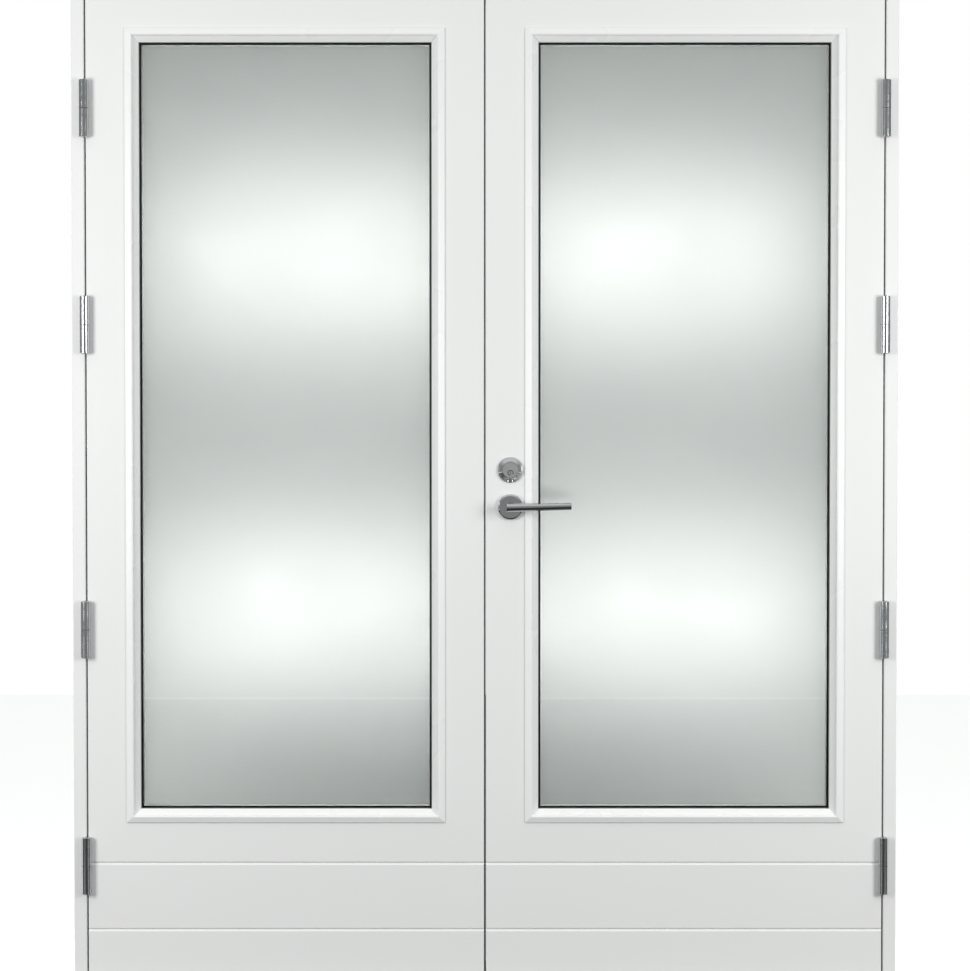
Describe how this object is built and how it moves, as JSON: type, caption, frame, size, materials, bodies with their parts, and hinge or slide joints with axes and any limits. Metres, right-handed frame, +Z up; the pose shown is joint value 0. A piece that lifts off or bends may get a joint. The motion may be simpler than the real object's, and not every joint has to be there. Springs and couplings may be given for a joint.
{
  "type": "pair of glazed entrance doors in a frame",
  "caption": "Pair of white outward-opening glazed entrance doors hung in a rebated frame, with lever, key cylinder and edge bolts.",
  "frame": {"origin": "underside of the frame, at the middle of its width and depth", "axes": "+X across the doorway to the right seen from outside, +Y from the outside to the room, +Z up"},
  "size_m": [1.69, 0.179, 2.09],
  "materials": {
    "white_paint": "satin white paint on wood",
    "painted_core": "pine painted at the edges",
    "insulation": "insulating board",
    "clear_glass": "clear",
    "frosted_glass": "frosted",
    "spacer_bar": "satin",
    "dark_rubber": "matt",
    "pale_rubber": "matt",
    "polished_chrome": "polished",
    "satin_chrome": "satin",
    "satin_steel": "brushed",
    "zinc_steel": "zinc plated",
    "nylon": "matt",
    "oiled_oak": "oiled",
    "raw_aluminium": "anodised"
  },
  "bodies": {
    "frame": {"left_jamb": "white_paint", "right_jamb": "white_paint", "head_jamb": "white_paint", "threshold_base": "oiled_oak", "threshold_cap": "raw_aluminium", "frame_seal": "pale_rubber", "frame_hinge_halves": "polished_chrome", "hinge_pins": "zinc_steel", "hinge_washers": "nylon", "frame_hinge_screws": "zinc_steel", "fixing_sleeves": "zinc_steel", "corner_screws": "zinc_steel", "head_keep": "zinc_steel", "threshold_keep": "zinc_steel"},
    "left_leaf": {"left_outer_skin": "white_paint", "left_inner_skin": "white_paint", "left_core_frame": "painted_core", "left_panel_core": "insulation", "left_outer_bead": "white_paint", "left_inner_bead": "white_paint", "left_outer_pane": "clear_glass", "left_spacer": "spacer_bar", "left_inner_pane": "frosted_glass", "left_gaskets": "dark_rubber", "left_hinge_halves": "polished_chrome", "left_hinge_screws": "zinc_steel", "strike_plate": "satin_steel", "meeting_seal": "pale_rubber", "bolt_guides": "satin_steel", "left_edge_screws": "zinc_steel"},
    "right_leaf": {"right_outer_skin": "white_paint", "right_inner_skin": "white_paint", "right_core_frame": "painted_core", "right_panel_core": "insulation", "right_outer_bead": "white_paint", "right_inner_bead": "white_paint", "right_outer_pane": "clear_glass", "right_spacer": "spacer_bar", "right_inner_pane": "frosted_glass", "right_gaskets": "dark_rubber", "right_hinge_halves": "polished_chrome", "right_hinge_screws": "zinc_steel", "lock_case": "satin_steel", "lock_screws": "zinc_steel", "outer_rosette": "polished_chrome", "inner_rosette": "polished_chrome", "cylinder_ring": "polished_chrome", "cylinder_barrel": "satin_chrome", "inner_ring": "polished_chrome"},
    "lever_set": {"outer_lever": "polished_chrome", "inner_lever": "polished_chrome", "spindle": "zinc_steel", "follower": "zinc_steel"},
    "key_plug": {"cylinder_plug": "satin_chrome"},
    "thumbturn": {"thumbturn": "polished_chrome"},
    "latch": {"latch_bolt": "satin_steel"},
    "deadbolt": {"deadbolt": "satin_steel"},
    "top_bolt": {"top_bolt": "satin_steel"},
    "bottom_bolt": {"bottom_bolt": "satin_steel"}
  },
  "joints": [
    {"name": "right_leaf_swing", "type": "hinge", "parent": "frame", "child": "right_leaf", "pos_m": [0.81725, -0.0679, 1], "axis": [0, 0, 1], "range_deg": [0, 175], "deforming": ["meeting_seal"]},
    {"name": "left_leaf_swing", "type": "hinge", "parent": "frame", "child": "left_leaf", "pos_m": [-0.81725, -0.0679, 1], "axis": [0, 0, -1], "range_deg": [0, 175]},
    {"name": "lever_turn", "type": "hinge", "parent": "right_leaf", "child": "lever_set", "pos_m": [0.052, -0.0265, 0.998], "axis": [0, 1, 0], "range_deg": [0, 45], "stiffness_Nm_per_rad": 1, "springref_deg": -28.65},
    {"name": "latch_slide", "type": "slide", "parent": "right_leaf", "child": "latch", "axis": [-1, 0, 0], "range_m": [0, 0.012]},
    {"name": "thumbturn_turn", "type": "hinge", "parent": "right_leaf", "child": "thumbturn", "pos_m": [0.052, 0.0045, 1.074], "axis": [0, 1, 0], "range_deg": [0, 90.5]},
    {"name": "deadbolt_slide", "type": "slide", "parent": "right_leaf", "child": "deadbolt", "axis": [-1, 0, 0], "range_m": [0, 0.02]},
    {"name": "key_turn", "type": "hinge", "parent": "right_leaf", "child": "key_plug", "pos_m": [0.052, -0.0575, 1.068], "axis": [0, 1, 0], "range_deg": [0, 90]},
    {"name": "top_bolt_slide", "type": "slide", "parent": "left_leaf", "child": "top_bolt", "axis": [0, 0, 1], "range_m": [0, 0.016]},
    {"name": "bottom_bolt_slide", "type": "slide", "parent": "left_leaf", "child": "bottom_bolt", "axis": [0, 0, -1], "range_m": [0, 0.016]}
  ],
  "couplings": [
    {"joint": "thumbturn_turn", "follows": "deadbolt_slide", "rad_per_m": 78.54}
  ]
}
